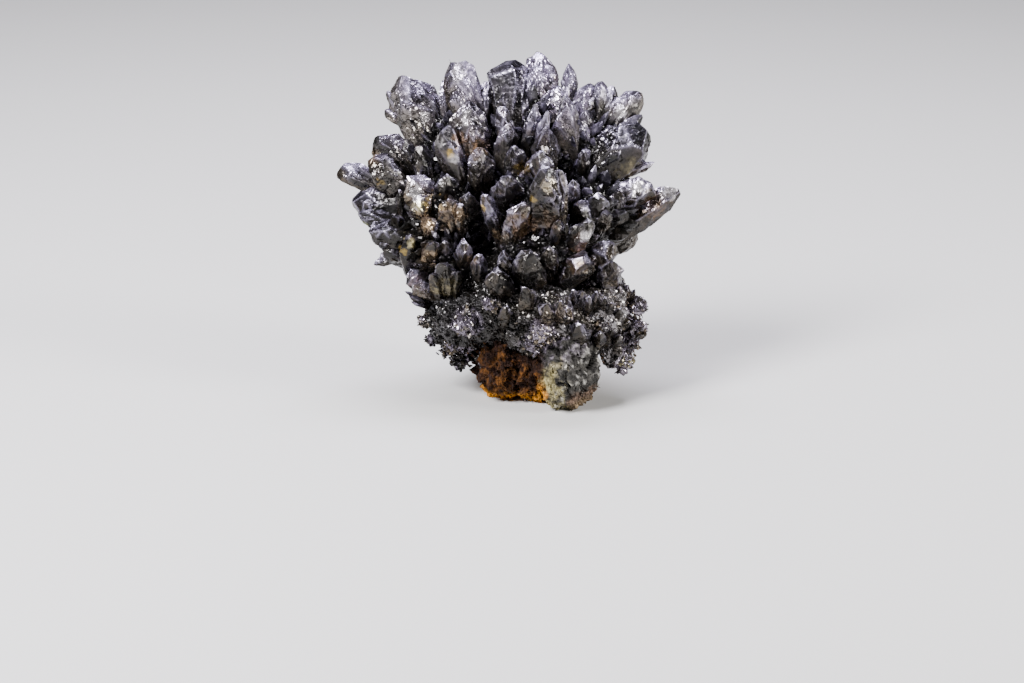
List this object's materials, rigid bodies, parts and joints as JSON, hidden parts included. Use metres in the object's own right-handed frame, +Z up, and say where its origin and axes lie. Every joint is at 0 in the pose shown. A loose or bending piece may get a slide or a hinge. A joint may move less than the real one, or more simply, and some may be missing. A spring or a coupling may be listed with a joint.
{
  "type": "descloizite crystal cluster",
  "caption": "Fan of dark grey, spear-shaped descloizite crystals in three sheaves on a druse-crusted trunk, standing on a small iron-stained foot of rock cut flat to rest on a shelf.",
  "frame": {"origin": "centre of the bounding box in X and Y, at the level of the flat cut under the rock, Z = 0", "axes": "+Z up, the fan's front faces -Y, its width runs along X, and its thinnest extent is along Y"},
  "size_m": [0.0768, 0.0444, 0.0752],
  "materials": {
    "matrix_rock": "rough, earthy, stained yellow, orange and brown by iron oxide",
    "drusy_trunk": "crust of small glittering crystals, dark grey with brown stains",
    "left_sheaf": "sub-metallic dark grey crystal faces with a violet sheen and tan stains",
    "centre_sheaf": "sub-metallic dark grey crystal faces, striated and pitted",
    "right_sheaf": "sub-metallic dark grey crystal faces, striated, with an olive tone below"
  },
  "bodies": {
    "root": {"matrix_rock": "matrix_rock", "drusy_trunk": "drusy_trunk", "left_sheaf": "left_sheaf", "centre_sheaf": "centre_sheaf", "right_sheaf": "right_sheaf"}
  },
  "joints": []
}
